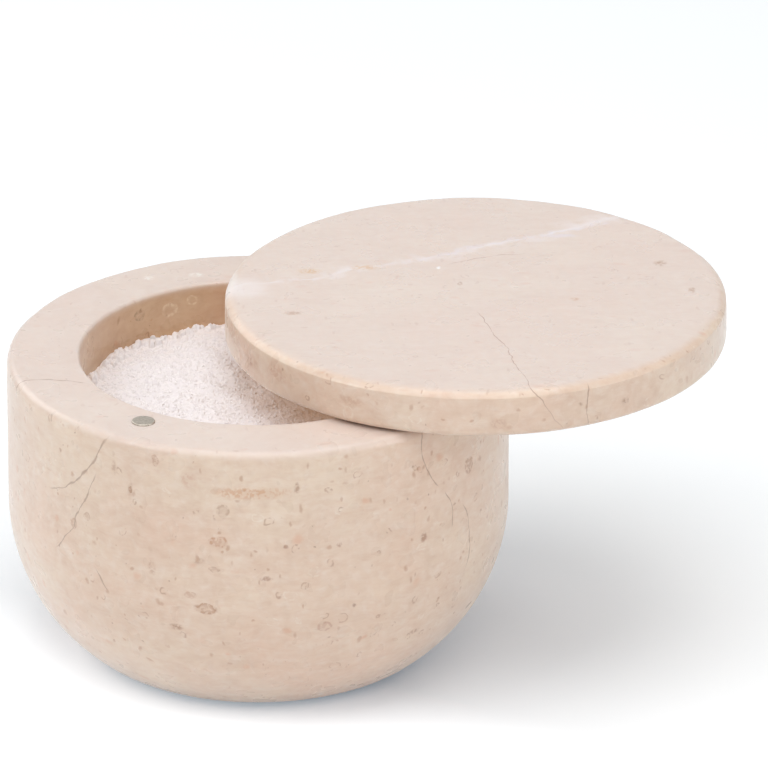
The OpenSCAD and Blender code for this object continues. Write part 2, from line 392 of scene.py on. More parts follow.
# Turns the outline into a closed body
def turnOutline(bm, steps):
    bmesh.ops.spin(bm, geom=bm.verts[:] + bm.edges[:], cent=(0, 0, 0), axis=(0, 0, 1), angle=2 * math.pi,
                   steps=steps, use_merge=True)
    bmesh.ops.remove_doubles(bm, verts=bm.verts, dist=weldWithin)
    bmesh.ops.recalc_face_normals(bm, faces=bm.faces)


# Eases an edge unevenly, as a hand does with a rubbing block: vertices sink along their normals,
# most at the corner of the outline, and by an amount that wanders round the piece. All but the seed
# is in millimetres.
def easeEdge(bm, corner, reach, depth, wave, seed):
    furthest, fineShare, fineWaves = 2.5, 0.35, 3.1
    bm.normal_update()
    for vert in bm.verts:
        flat = Vector((vert.co.x, vert.co.y, 0))
        away = math.hypot(flat.length - corner[0] * mm, vert.co.z - corner[1] * mm) / (reach * mm)
        if away < furthest:
            where = flat / (wave * mm) + Vector((seed, 0, 0))
            wander = meanWear + noise.noise(where) + fineShare * noise.noise(where * fineWaves)
            vert.co -= vert.normal * depth * mm * max(0.0, wander) * math.exp(-away * away)


# Slow unevenness of a hand-rubbed face, only ever into the stone
def rubFaces(bm, depth, wave, seed):
    bm.normal_update()
    for vert in bm.verts:
        where = vert.co / (wave * mm) + Vector((0, seed, 0))
        vert.co -= vert.normal * depth * mm * max(0.0, meanWear + noise.noise(where))


def smoothMesh(mesh, sharpAngle=sharpTurn):
    mesh.shade_smooth()
    mesh.set_sharp_from_angle(angle=math.radians(sharpAngle))


def objectFromBmesh(bm, name):
    mesh = bpy.data.meshes.new(name)
    bm.to_mesh(mesh)
    bm.free()
    made = bpy.data.objects.new(name, mesh)
    bpy.context.scene.collection.objects.link(made)
    return made


def pieceFromBmesh(bm, name, material, sharpAngle=sharpTurn):
    piece = objectFromBmesh(bm, name)
    smoothMesh(piece.data, sharpAngle)
    piece.data.materials.append(material)
    return piece


pocketSides = 48
drillStart = 1.0           # how far outside the stone the drill starts, mm


# Drills the round blind pocket that a node's piece sits in, from its hidden end to a mouth outside
# the stone; radius and mouth are in millimetres
def drillPocket(piece, node, radius, mouth):
    low, high = [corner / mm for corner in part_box(node)]
    bottom, top = min(low.z, mouth), max(high.z, mouth)
    centre = Vector(((low.x + high.x) / 2, (low.y + high.y) / 2, (bottom + top) / 2))
    bm = bmesh.new()
    bmesh.ops.create_cone(bm, cap_ends=True, segments=pocketSides, radius1=radius * mm, radius2=radius * mm,
                          depth=(top - bottom) * mm, matrix=Matrix.Translation(centre * mm))
    cutter = objectFromBmesh(bm, "cutter")
    drill = piece.modifiers.new("pocket", "BOOLEAN")
    drill.object = cutter
    drill.solver = "EXACT"
    bpy.context.view_layer.update()
    cut = bpy.data.meshes.new_from_object(piece.evaluated_get(bpy.context.evaluated_depsgraph_get()))
    piece.modifiers.clear()
    piece.data = cut
    bpy.data.objects.remove(cutter)


# Bowl: flat base, tight foot curve, long belly curve, straight side, flat rim, straight-walled hollow
bowl = {
    "steps": 288,          # facets round the turned body
    "grid": 1.3,           # spacing of the mesh along the outline, mm
    "wider": {"base": 3, "wall": 1.6, "floor": 4},  # how many times wider it is on these
    "arcSteps": {"foot": 6, "belly": 30, "outer": 10, "inner": 6, "hollow": 10},
    "rimWidth": 16.0,      # flat rim from the hollow to the outside
    "floorThick": 18.5,
    "hollowRound": 14.0,
    "bellyHigh": 35.0,     # above the base, where the straight side begins
    "bellyRound": 41.5,
    "footRound": 9.0,
    "outerRound": 2.0,
    "innerRound": 0.8,
    "magnetPocket": 2.55,  # radius
    "pinPocket": 1.55,
    "easedOuter": (2.4, 0.28, 14.0, 3.0),  # reach, depth, wave, seed
    "easedInner": (0.9, 0.12, 9.0, 11.0),
    "rubbed": (0.05, 17.0, 5.0),           # depth, wave, seed
}


def buildBowl(material):
    low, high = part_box("bowl")
    radius, base, rim = high.x / mm, low.z / mm, high.z / mm
    mouth, floor = radius - bowl["rimWidth"], base + bowl["floorThick"]
    outer, inner, corner = bowl["outerRound"], bowl["innerRound"], bowl["hollowRound"]
    grid, wider, arcs = bowl["grid"], bowl["wider"], bowl["arcSteps"]
    # The foot's arc runs on from the belly's without a kink
    between = bowl["bellyRound"] - bowl["footRound"]
    turn = math.asin((bowl["bellyHigh"] - bowl["footRound"]) / between)
    belly = (radius - bowl["bellyRound"], base + bowl["bellyHigh"])
    foot = (belly[0] + between * math.cos(turn), belly[1] - between * math.sin(turn))
    sweep = math.degrees(turn)

    bm = bmesh.new()
    vert = startOutline(bm, (0, base))
    vert = lineTo(bm, vert, (foot[0], base), wider["base"] * grid)
    vert = arcTo(bm, vert, foot, 90 - sweep, arcs["foot"])
    vert = arcTo(bm, vert, belly, sweep, arcs["belly"])
    vert = lineTo(bm, vert, (radius, rim - outer), grid)
    vert = arcTo(bm, vert, (radius - outer, rim - outer), 90, arcs["outer"])
    vert = lineTo(bm, vert, (mouth + inner, rim), grid)
    vert = arcTo(bm, vert, (mouth + inner, rim - inner), 90, arcs["inner"])
    vert = lineTo(bm, vert, (mouth, floor + corner), wider["wall"] * grid)
    vert = arcTo(bm, vert, (mouth - corner, floor + corner), -90, arcs["hollow"])
    lineTo(bm, vert, (0, floor), wider["floor"] * grid)
    turnOutline(bm, bowl["steps"])
    easeEdge(bm, (radius, rim), *bowl["easedOuter"])
    easeEdge(bm, (mouth, rim), *bowl["easedInner"])
    rubFaces(bm, *bowl["rubbed"])
    piece = pieceFromBmesh(bm, "marbleBowl", material)

    drillPocket(piece, "rim_magnet", bowl["magnetPocket"], rim + drillStart)
    drillPocket(piece, "pivot_pin", bowl["pinPocket"], rim + drillStart)
    smoothMesh(piece.data)
    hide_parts("bowl")
    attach(piece, "bowl_body")


lid = {
    "steps": 288,
    "grid": 1.3,
    "wider": {"under": 2.5, "top": 1.8},
    "arcSteps": {"under": 8, "arris": 5, "shoulder": 10},
    "topRound": 3.0,       # a low round on the upper edge, which starts from a tight arris on the side
    "arrisRound": 0.5,
    "arrisTurn": 35,       # how far the arris turns, degrees
    "underRound": 1.5,
    "sleevePocket": 3.05,
    "magnetPocket": 2.55,
    "easedTop": (2.4, 0.22, 12.0, 7.0),
    "easedUnder": (1.5, 0.2, 16.0, 23.0),
    "rubbed": (0.04, 19.0, 9.0),
}


def buildLid(material):
    low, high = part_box("lid")
    centre = (low + high) / 2
    radius, under, top = (high.x - low.x) / 2 / mm, low.z / mm, high.z / mm
    soft, arris, tight = lid["topRound"], lid["arrisRound"], lid["underRound"]
    grid, wider, arcs = lid["grid"], lid["wider"], lid["arcSteps"]
    turn = math.radians(lid["arrisTurn"])
    shoulder = (radius - arris - (soft - arris) * math.cos(turn), top - soft)
    corner = (radius - arris, top - soft + (soft - arris) * math.sin(turn))

    bm = bmesh.new()
    vert = startOutline(bm, (0, under))
    vert = lineTo(bm, vert, (radius - tight, under), wider["under"] * grid)
    vert = arcTo(bm, vert, (radius - tight, under + tight), 90, arcs["under"])
    vert = lineTo(bm, vert, (radius, corner[1]), grid)
    vert = arcTo(bm, vert, corner, lid["arrisTurn"], arcs["arris"])
    vert = arcTo(bm, vert, shoulder, 90 - lid["arrisTurn"], arcs["shoulder"])
    lineTo(bm, vert, (0, top), wider["top"] * grid)
    turnOutline(bm, lid["steps"])
    easeEdge(bm, (radius, top), *lid["easedTop"])
    easeEdge(bm, (radius, under), *lid["easedUnder"])
    rubFaces(bm, *lid["rubbed"])
    bmesh.ops.translate(bm, verts=bm.verts, vec=(centre.x, centre.y, 0))
    piece = pieceFromBmesh(bm, "marbleLid", material)

    drillPocket(piece, "lid_bush", lid["sleevePocket"], under - drillStart)
    drillPocket(piece, "lid_magnet", lid["magnetPocket"], under - drillStart)
    smoothMesh(piece.data)
    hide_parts("lid")
    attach(piece, "lid_body")


# The bowl's stone. Places are millimetres in the part's frame, chosen on its surface; a crack or vein
# is given as sheetDistance says, with its half width
bowlStone = {
    "blockShift": (40.0, 12.0, 7.0),
    "body": "#E3CBB7",
    "clouds": [  # tint, size in mm, from, to, strength, shift
        ("#E8C0A9", 34.0, 0.42, 0.66, 0.30, 3.0),
        ("#ECDBC5", 21.0, 0.46, 0.66, 0.45, 21.0),
        ("#D2B7A1", 8.0, 0.44, 0.76, 0.22, 47.0),
        ("#CBAA93", 2.3, 0.44, 0.76, 0.24, 61.0),
        ("#F4E9DF", 1.9, 0.46, 0.76, 0.24, 83.0),
    ],
    "bedStretch": (0.5, 0.5, 1.5),
    "beds": [  # fine beds, drawn out along the stone; tint, size in mm, from, to, strength, shift
        ("#D0AE96", 3.6, 0.44, 0.74, 0.24, 5.0),
        ("#F0E2D4", 3.0, 0.46, 0.74, 0.24, 33.0),
        ("#CFA58B", 1.3, 0.48, 0.76, 0.18, 57.0),
        ("#F3E8DC", 1.1, 0.50, 0.76, 0.14, 91.0),
    ],
    "flecks": [  # tint, cell mm, size mm, share of cells, turn, stretch, strength
        ("#B78562", 3.8, 0.80, 0.36, (0.3, 0.9, 0.4), (1.0, 2.4, 1.4), 0.52),
        ("#B38463", 5.6, 1.15, 0.42, (1.2, 0.2, 2.1), (2.6, 1.0, 1.2), 0.50),
        ("#966C52", 2.7, 0.30, 0.30, (2.2, 0.7, 1.1), (1.0, 1.5, 1.0), 0.58),
        ("#D9A382", 7.0, 1.7, 0.42, (0.9, 2.3, 0.6), (1.0, 1.9, 1.3), 0.45),
    ],
    "shells": [  # tint, cell mm, radius mm, line mm, share of cells, stretch, strength
        ("#A5775A", 6.0, 0.8, 0.30, 0.42, (1.0, 1.4, 1.0), 0.55),
        ("#AB7C60", 10.0, 1.4, 0.34, 0.42, (1.3, 1.0, 1.5), 0.50),
        ("#F8EFE3", 9.0, 1.6, 0.36, 0.30, (1.2, 1.0, 1.5), 0.34),
    ],
    "veins": [],
    "spots": [  # tint, place, half sizes in mm, strength, how hollow (-1: whole and smooth)
        ("#AC7F60", (46.0, -30.1, 55.7), (1.9, 1.9, 2.2), 0.62, 0.2),
        ("#B0805F", (-10.8, -53.7, 32.3), (2.8, 2.5, 1.5), 0.72, 0.45),
        ("#AB8167", (-17.4, -51.1, 26.8), (2.2, 2.5, 1.1), 0.75, 0.0),
        ("#B78D72", (-22.5, -50.2, 40.6), (1.2, 2.2, 2.4), 0.60, 0.0),
        ("#D09C73", (-1.2, -55.0, 60.2), (12.0, 3.5, 1.9), 0.62, 0.0),
        ("#A67B5E", (-26.9, -48.0, 57.9), (0.7, 2.0, 2.0), 0.75, 0.0),
        ("#B08A6E", (-7.0, -54.5, 55.8), (1.5, 2.0, 1.9), 0.60, 0.6),
        ("#BE8A68", (-8.1, -54.4, 48.5), (2.4, 2.0, 1.5), 0.70, 0.35),
        ("#A47860", (36.2, -41.4, 43.7), (1.3, 1.6, 1.5), 0.75, 0.0),
        ("#A67C62", (8.9, -54.3, 61.2), (0.8, 1.6, 1.6), 0.65, 0.0),
        ("#A47860", (6.3, -54.6, 47.4), (1.1, 1.6, 0.6), 0.70, 0.0),
        ("#AE836C", (18.1, -51.9, 46.7), (0.9, 1.6, 0.8), 0.65, 0.0),
        ("#B98C76", (14.8, -52.0, 27.4), (1.9, 1.9, 1.4), 0.60, 0.3),
        ("#A47860", (2.2, -54.9, 40.0), (1.9, 1.8, 0.7), 0.65, 0.0),
        ("#AE8466", (10.6, -54.0, 37.9), (1.1, 1.6, 1.0), 0.60, 0.4),
        ("#9C7866", (21.3, -50.4, 31.7), (0.7, 1.4, 0.6), 0.70, 0.0),
        ("#AE876F", (34.1, -39.0, 20.2), (1.6, 2.0, 0.9), 0.65, 0.0),
        ("#BB8F74", (-14.2, -53.1, 35.3), (1.6, 1.8, 0.9), 0.50, 0.2),
        ("#B58A70", (-21.6, -50.6, 66.0), (0.8, 1.6, 1.5), 0.60, 0.3),
        ("#CDA08A", (-14.4, -53.1, 62.6), (2.4, 2.0, 2.6), 0.45, 0.0),
        ("#B59077", (-30.6, -45.7, 62.2), (0.6, 1.6, 2.2), 0.50, 0.0),
        ("#B48D74", (-36.6, -41.0, 48.5), (0.9, 1.5, 1.0), 0.60, 0.4),
        ("#B48D74", (-39.5, -38.3, 45.5), (0.8, 1.5, 1.4), 0.60, 0.4),
        ("#B48F77", (-12.2, -53.6, 43.6), (1.6, 1.8, 1.0), 0.45, 0.0),
        ("#B0876C", (-8.9, -54.3, 42.0), (1.4, 1.8, 0.8), 0.55, 0.4),
        ("#C79B86", (-3.4, -54.9, 24.0), (3.6, 2.6, 2.0), 0.45, 0.0),
        ("#B0896F", (-26.0, -46.9, 20.5), (1.3, 1.8, 0.8), 0.50, 0.4),
        ("#FFFAF2", (-19.9, 33.5, 64.7), (2.4, 2.2, 1.8), 0.70, 0.95),
        ("#FFFAF2", (-15.0, 36.0, 66.0), (1.6, 1.6, 1.3), 0.70, 0.95),
        ("#8D6C58", (-26.5, 28.6, 65.5), (1.6, 1.8, 1.5), 0.45, 0.8),
        ("#F9F3EC", (-14.2, 42.0, 69.5), (2.4, 1.7, 1.0), 0.75, 0.0),
        ("#F9F3EC", (-24.9, 40.3, 69.5), (1.9, 1.5, 1.0), 0.65, 0.0),
    ],
    "cracks": [
        {"points": [(-31.6, -45.0, 69.5), (-39.0, -38.8, 56.1), (-45.5, -31.0, 50.0)], "width": 0.34,
         "inward": (0.70, 0.71, 0.0)},
        {"points": [(-34.3, -43.0, 60.0), (-38.9, -38.8, 47.3), (-43.9, -33.2, 37.0)], "width": 0.26,
         "inward": (0.72, 0.69, 0.0)},
        {"points": [(-34.8, -42.6, 36.6), (-33.4, -43.8, 34.4), (-32.1, -44.6, 32.6)], "width": 0.36,
         "inward": (0.62, 0.79, 0.0)},
        {"points": [(36.2, -41.4, 70.0), (36.8, -40.8, 59.5), (39.6, -38.2, 54.0)], "width": 0.26,
         "inward": (-0.67, 0.74, 0.0)},
        {"points": [(-54.5, -18.0, 69.5), (-44.0, -15.2, 69.5), (-36.0, -17.6, 69.5)], "width": 0.3,
         "inward": (0.0, 0.0, -1.0)},
        {"points": [(44.6, -32.0, 48.0), (46.0, -30.0, 41.0), (44.4, -31.0, 30.0)], "width": 0.2,
         "inward": (-0.84, 0.54, 0.0)},
        {"points": [(40.6, -37.1, 53.0), (42.4, -35.0, 47.5), (42.2, -35.3, 42.5)], "width": 0.2,
         "inward": (-0.76, 0.64, 0.0)},
    ],
    "crackTint": "#A0806C",
    "crackStrength": 0.68,
    # The hollow's tint is painted shade and warm bounce light on its wall
    "hollow": {"tint": "#F1E2CD", "radius": 40.2, "bottom": 17.0, "top": 69.3, "fade": 1.2},
    # Painted highlight: from here up, the rim and its rounded edges are painted paler
    "paintedPaleTopFrom": 67.4,    # height where the paler flat face begins, and where it is full
    "paintedPaleTopTo": 69.3,
    "paintedPaleTopTint": "#E0D4D0",
    "paintedPaleTopStrength": 0.55,
    "roughLow": 0.26,
    "roughHigh": 0.38,
}

# The lid's is from the same quarry, with a vein through it and no hollow
lidStone = dict(
    bowlStone,
    blockShift=(-31.0, 55.0, 90.0),
    bedStretch=(0.4, 1.5, 1.5),
    hollow=None,
    veins=[
        {"points": [(-8.0, 8.5, 80.5), (37.5, 26.6, 80.5), (82.0, 50.5, 80.5)], "width": 1.6, "thin": 0.4,
         "patch": 9.0, "wisp": 5.5, "inward": (0.0, 0.3, -1.0), "tint": "#F1EAEC", "strength": 0.55},
        {"points": [(-9.0, 8.0, 80.5), (30.0, 22.5, 80.5), (82.0, 51.0, 80.5)], "width": 6.5, "thin": 1.0,
         "patch": 9.0, "wisp": 3.4, "inward": (0.0, 0.3, -1.0), "tint": "#EEE5E5", "strength": 0.46},
        {"points": [(34.0, 24.0, 80.5), (56.0, 36.5, 80.5), (79.0, 46.0, 80.5)], "width": 1.6, "thin": 0.3,
         "patch": 5.0, "wisp": 2.4, "inward": (0.0, 0.3, -1.0), "tint": "#E6DFE8", "strength": 0.50},
    ],
    spots=[
        ("#D8B288", (11.3, 18.6, 80.5), (3.4, 1.8, 1.6), 0.80, 0.0),
        ("#D8B288", (23.4, 20.6, 80.5), (4.2, 1.8, 1.6), 0.72, 0.0),
        # Painted highlight: these two pale spots at the lid's left edge, over the end of the pale vein, paint
        # the light that edge reflects
        ("#F6F0F0", (-3.0, 9.0, 80.0), (7.0, 8.0, 3.5), 0.42, -1.0),
        ("#FAF6F4", (-6.0, 14.0, 79.0), (2.4, 11.0, 3.0), 0.55, -1.0),
        ("#E4DDE8", (66.5, 38.5, 80.5), (5.0, 1.5, 2.0), 0.50, -1.0),
        ("#B08E76", (88.4, 23.1, 80.5), (1.9, 2.2, 1.4), 0.75, 0.0),
        ("#BA9881", (7.7, -4.5, 80.5), (2.8, 1.2, 1.4), 0.65, 0.0),
        ("#B28E77", (95.0, 8.1, 80.5), (1.2, 2.0, 1.4), 0.70, 0.0),
        ("#A47D66", (44.2, 11.7, 80.5), (0.8, 1.4, 1.2), 0.65, 0.0),
        ("#C49A7B", (69.3, 3.2, 80.5), (1.4, 1.4, 1.2), 0.60, 0.0),
        ("#FFFFFF", (39.5, 20.5, 80.5), (0.7, 1.2, 1.0), 0.75, 0.0),
        ("#A67D64", (79.7, -38.2, 74.2), (1.2, 1.9, 1.2), 0.70, 0.0),
        ("#A67D64", (69.9, -43.9, 75.8), (0.8, 1.9, 0.8), 0.70, 0.0),
        ("#BC907A", (52.0, -47.5, 73.2), (2.6, 2.0, 1.4), 0.45, 0.0),
        ("#A9764C", (-5.4, -11.0, 76.0), (1.6, 1.9, 2.2), 0.70, 0.0),
        ("#AA8169", (-2.4, -17.5, 74.5), (1.2, 1.6, 1.6), 0.70, 0.2),
        ("#AA8169", (1.5, -25.4, 74.0), (1.2, 1.6, 1.2), 0.70, 0.0),
        ("#C99E83", (4.0, -27.0, 76.0), (5.0, 5.0, 3.0), 0.50, 0.0),
        ("#C0906D", (-6.0, -8.0, 76.5), (4.0, 8.0, 2.8), 0.50, 0.0),
        ("#B98A6A", (-2.5, -19.0, 75.0), (4.0, 6.0, 2.4), 0.50, 0.0),
        ("#BF957C", (20.0, -41.0, 75.5), (5.0, 4.0, 1.6), 0.45, 0.0),
    ],
    cracks=[
        {"points": [(47.6, -2.0, 80.5), (53.3, -21.9, 80.5), (61.0, -51.0, 80.5)], "width": 0.13,
         "inward": (0.51, 0.16, -0.84)},
        {"points": [(72.0, -42.9, 80.5), (71.4, -43.1, 76.0), (72.2, -42.6, 69.5)], "width": 0.15,
         "inward": (-0.45, 0.89, 0.0)},
        {"points": [(41.0, 21.8, 80.5), (49.0, 25.9, 80.5), (60.0, 28.6, 80.5)], "width": 0.15,
         "inward": (0.0, 0.0, -1.0)},
    ],
    crackTint="#9C7460",
    crackStrength=0.66,
    # Painted highlight: from here up, the lid's top and the upper part of its edge round are painted paler
    paintedPaleTopFrom=79.9,
    paintedPaleTopTo=80.47,
)

buildBowl(creamMarble("creamMarbleBowl", bowlStone))
buildLid(creamMarble("creamMarbleLid", lidStone))
print("stone bowl and lid built")


# Coarse salt: a heap with crystals of about a millimetre lying on it in every direction
salt = {
    "gap": 0.06,           # between the heap and the stone, mm
    "steps": 256,
    "arcSteps": 8,
    "side": 8,             # spacing of the mesh along the hidden outline, mm
    "surface": 0.8,        # and along the surface
    "edgeHigh": 59.0,
    "crown": 2.0,
    "moundHigh": 1.2,      # mounds in bent, crossing rows, as on the solid
    "moundPitch": 11.0,
    "moundBend": 60,
    "roughHigh": 0.35,     # small unevenness on the mounds: height and size in mm, and where it is cut
    "roughPitch": 0.9,
    "roughCut": 3.0,
    "heapSharp": 60,       # edges that turn more than this stay sharp, degrees
    "grainSharp": 20,
    "grains": [  # how many, smallest and largest size in mm, lowest and highest lie, inner radius as a share
        ("saltGrains", 9000, 0.5, 0.9, -0.40, 0.0, 0.0),
        ("saltCrystals", 4200, 0.8, 1.25, -0.40, -0.05, 0.0),
        ("saltLumps", 420, 1.1, 1.8, 0.0, 0.45, 0.93),
    ],
    "shapes": 24,
    "chipped": (0.8, 1.25),      # how far each corner is moved in or out
    "narrowed": (0.7, 1.0),
    "flattened": (0.65, 0.95),
    "anyTurn": 6.3,        # radians, a little over a full turn
    "footFrom": -0.05,     # this and the next three in shares of a grain's size
    "footWide": 0.66,
    "footDeep": 0.8,
    "wallGap": 0.02,
    "tints": ("#E9E9ED", "#E4E4EA"),
    "tintPatch": (1.6, 0.35, 0.65, 2.0),
    "rough": (0.25, 0.5),
    "index": 1.54,         # of refraction
    "lift": 1.6,           # how far the facets' shading is turned up
    # Painted light: the salt emits this warm glow itself
    "paintedGlowTint": "#FFC389",
    "glow": 0.12,
    "seed": 41,
}


# The surface of the heap: a low crown with mounds on it
def saltHeight(x, y, radius):
    turn = 2 * math.pi / (salt["moundPitch"] * math.sqrt(2))
    bend = math.radians(salt["moundBend"])
    crown = salt["crown"] * (1 - min(1.0, math.hypot(x, y) / radius) ** 2)
    rows = math.sin(turn * x + bend * math.sin(turn * y / 2))
    crossRows = math.cos(turn * y + bend * math.cos(turn * x / 2))
    return salt["edgeHigh"] + crown + salt["moundHigh"] / 2 * rows * crossRows


# Rock salt grains, milled and sieved: clear crystals that scatter light white, with a faint rosy cast
def coarseSalt(name):
    material, tree = newMaterial(name)
    patch = cloudMask(tree, piecePoint(tree), *salt["tintPatch"])
    first, second = [toLinear(tint) for tint in salt["tints"]]
    colour = addNode(tree, "ShaderNodeMix", {0: patch, 6: first, 7: second}, data_type="RGBA")
    rough = addNode(tree, "ShaderNodeMapRange", {
        "Value": patch, "To Min": salt["rough"][0], "To Max": salt["rough"][1]})
    # Light leaks from grain to grain: the facets are shaded as if half turned to the sky. The salt also has a
    # painted warm glow, emitted by itself, which stands in for light seeped through the stone and lifts the
    # dips
    facet = addNode(tree, "ShaderNodeNewGeometry")
    lifted = addNode(tree, "ShaderNodeVectorMath", {
        0: facet.outputs["Normal"], 1: (0, 0, salt["lift"])}, operation="ADD")
    soft = addNode(tree, "ShaderNodeVectorMath", {0: lifted.outputs[0]}, operation="NORMALIZE")
    finishMaterial(tree, {
        "Base Color": colour.outputs[2], "Roughness": rough.outputs[0], "Normal": soft.outputs[0],
        "Emission Color": toLinear(salt["paintedGlowTint"]), "Emission Strength": salt["glow"],
        "IOR": salt["index"]})
    return material


# Crystal shapes: chipped lumps of twenty facets, turned every way. The lower half of each spreads
# into a foot that the heap hides, so that no facet hangs over and goes dark.
def chippedShapes(draw):
    shapes = []
    for _ in range(salt["shapes"]):
        bm = bmesh.new()
        bmesh.ops.create_icosphere(bm, subdivisions=1, radius=0.5)
        for vert in bm.verts:
            vert.co *= draw.uniform(*salt["chipped"])
        tipped = Matrix.Rotation(draw.uniform(0, salt["anyTurn"]), 3, "X")
        tipped = tipped @ Matrix.Rotation(draw.uniform(0, salt["anyTurn"]), 3, "Z")
        slimmed = Matrix.Diagonal((1, draw.uniform(*salt["narrowed"]), draw.uniform(*salt["flattened"])))
        bmesh.ops.transform(bm, verts=bm.verts, matrix=(tipped @ slimmed).to_4x4())
        for vert in bm.verts:
            if vert.co.z < salt["footFrom"]:
                away = Vector((vert.co.x, vert.co.y)).normalized() * salt["footWide"]
                vert.co = (away.x, away.y, -salt["footDeep"])
        shape = bpy.data.meshes.new("crystalShape")
        bm.to_mesh(shape)
        bm.free()
        shapes.append(shape)
    return shapes


def scatterGrains(draw, shapes, radius, material, name, count, smallest, largest, lowest, highest, inner):
    bm = bmesh.new()
    for i in range(count):
        size = draw.uniform(smallest, largest)
        reach = radius - (salt["footWide"] + salt["wallGap"]) * size
        away = reach * math.sqrt(draw.uniform(inner ** 2, 1))
        around = draw.uniform(0, 2 * math.pi)
        x, y = away * math.cos(around), away * math.sin(around)
        z = saltHeight(x, y, radius) + draw.uniform(lowest, highest) * size
        turned = Matrix.Rotation(draw.uniform(0, salt["anyTurn"]), 4, "Z")
        place = Matrix.Translation(Vector((x, y, z)) * mm) @ turned @ Matrix.Scale(size * mm, 4)
        shape = shapes[i % len(shapes)]
        shape.transform(place)
        bm.from_mesh(shape)
        shape.transform(place.inverted())
    return pieceFromBmesh(bm, name, material, salt["grainSharp"])


def buildSalt(material):
    low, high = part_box("salt")
    radius, floor = high.x / mm - salt["gap"], low.z / mm + salt["gap"]
    edge, corner, side = salt["edgeHigh"], bowl["hollowRound"], salt["side"]

    bm = bmesh.new()
    vert = startOutline(bm, (0, floor))
    vert = lineTo(bm, vert, (radius - corner, floor), side)
    vert = arcTo(bm, vert, (radius - corner, floor + corner), 90, salt["arcSteps"])
    vert = lineTo(bm, vert, (radius, edge), side)
    lineTo(bm, vert, (0, edge), salt["surface"])
    turnOutline(bm, salt["steps"])
    for vert in bm.verts:
        if abs(vert.co.z - edge * mm) < levelWithin:
            x, y = vert.co.x / mm, vert.co.y / mm
            rough = noise.noise(Vector((x, y, salt["roughCut"])) / salt["roughPitch"])
            vert.co.z = (saltHeight(x, y, radius) + salt["roughHigh"] * rough) * mm
    heap = pieceFromBmesh(bm, "saltHeap", material, salt["heapSharp"])
    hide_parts("salt")

    draw = random.Random(salt["seed"])
    shapes = chippedShapes(draw)
    pieces = [heap] + [scatterGrains(draw, shapes, radius, material, *grains) for grains in salt["grains"]]
    for piece in pieces:
        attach(piece, "bowl_body")
    for shape in shapes:
        bpy.data.meshes.remove(shape)


buildSalt(coarseSalt("coarseSalt"))
print("salt heaped")


# What a worked finish has unless it says otherwise; patch is from and to in its noise
plainWork = {"patch": (0.3, 0.7), "stretch": (1, 1, 1), "metallic": 0.0, "bump": 0.4}


# A worked metal, plastic or rubber: two tints, a shine and a fine relief that come and go together
def workedFinish(name, finish):
    finish = dict(plainWork, **finish)
    material, tree = newMaterial(name)
    streaks = cloudMask(tree, piecePoint(tree), finish["size"], *finish["patch"], stretch=finish["stretch"])
    first, second = [toLinear(tint) for tint in finish["tints"]]
    colour = addNode(tree, "ShaderNodeMix", {0: streaks, 6: first, 7: second}, data_type="RGBA")
    rough = addNode(tree, "ShaderNodeMapRange", {
        "Value": streaks, "To Min": finish["rough"][0], "To Max": finish["rough"][1]})
    bump = addNode(tree, "ShaderNodeBump", {
        "Height": streaks, "Strength": finish["bump"], "Distance": finish["depth"] * mm})
    finishMaterial(tree, {
        "Base Color": colour.outputs[2], "Metallic": finish["metallic"], "Roughness": rough.outputs[0],
        "Normal": bump.outputs[0]})
    return material


magnets = {
    "sides": 64,
    "edgeRound": 0.22,
    "roundSteps": 4,
    # Neodymium discs, nickel plated and tumbled: soft grey shine; rubbing marks drawn coarser, to show
    "finish": {"tints": ("#D2CABF", "#A29A8D"), "size": 0.5, "stretch": (1.0, 5.0, 1.0),
               "rough": (0.28, 0.45), "metallic": 1.0, "bump": 0.3, "depth": 0.02},
}


def buildMagnet(node, name, body, material):
    low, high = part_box(node)
    radius = (high.x - low.x) / 2
    bm = bmesh.new()
    bmesh.ops.create_cone(bm, cap_ends=True, segments=magnets["sides"], radius1=radius, radius2=radius,
                          depth=high.z - low.z, matrix=Matrix.Translation((low + high) / 2))
    rims = [e for e in bm.edges if abs(e.verts[0].co.z - e.verts[1].co.z) < levelWithin]
    bmesh.ops.bevel(bm, geom=rims, offset=magnets["edgeRound"] * mm, offset_type="OFFSET",
                    segments=magnets["roundSteps"], profile=0.5, affect="EDGES", material=-1)
    piece = pieceFromBmesh(bm, name, material)
    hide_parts(node)
    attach(piece, body)


nickel = workedFinish("platedNickel", magnets["finish"])
buildMagnet("rim_magnet", "rimMagnet", "bowl_body", nickel)
buildMagnet("lid_magnet", "lidMagnet", "lid_body", nickel)
print("magnets seated")


# The hidden hardware keeps its own shape and gets its finish; sizes and depths in millimetres
hardware = {
    # Ground stainless rod: even grey shine; grinding marks drawn coarser, to show
    "pivot_pin": ("groundSteel", {
        "tints": ("#C6C6C4", "#B4B4B2"), "size": 0.4, "rough": (0.2, 0.35), "metallic": 1.0, "depth": 0.01}),
    # Moulded nylon: waxy off-white
    "lid_bush": ("mouldedNylon", {
        "tints": ("#EBE7DA", "#E0DBCC"), "size": 1.2, "rough": (0.4, 0.55), "depth": 0.02}),
    # Punched from nylon sheet: the same, a little whiter and drier
    "pivot_washer": ("punchedNylon", {
        "tints": ("#F0EDE4", "#E4E0D4"), "size": 1.2, "rough": (0.45, 0.6), "depth": 0.02}),
    # Closed-cell rubber foam, die cut: matt charcoal with a fine pebble
    "foot_pad": ("rubberFoam", {
        "tints": ("#3A3734", "#2C2A28"), "size": 0.6, "rough": (0.8, 0.95), "depth": 0.12}),
}
for node, (name, finish) in hardware.items():
    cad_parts[node].data.materials.clear()
    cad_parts[node].data.materials.append(workedFinish(name, finish))
print("hardware finished")


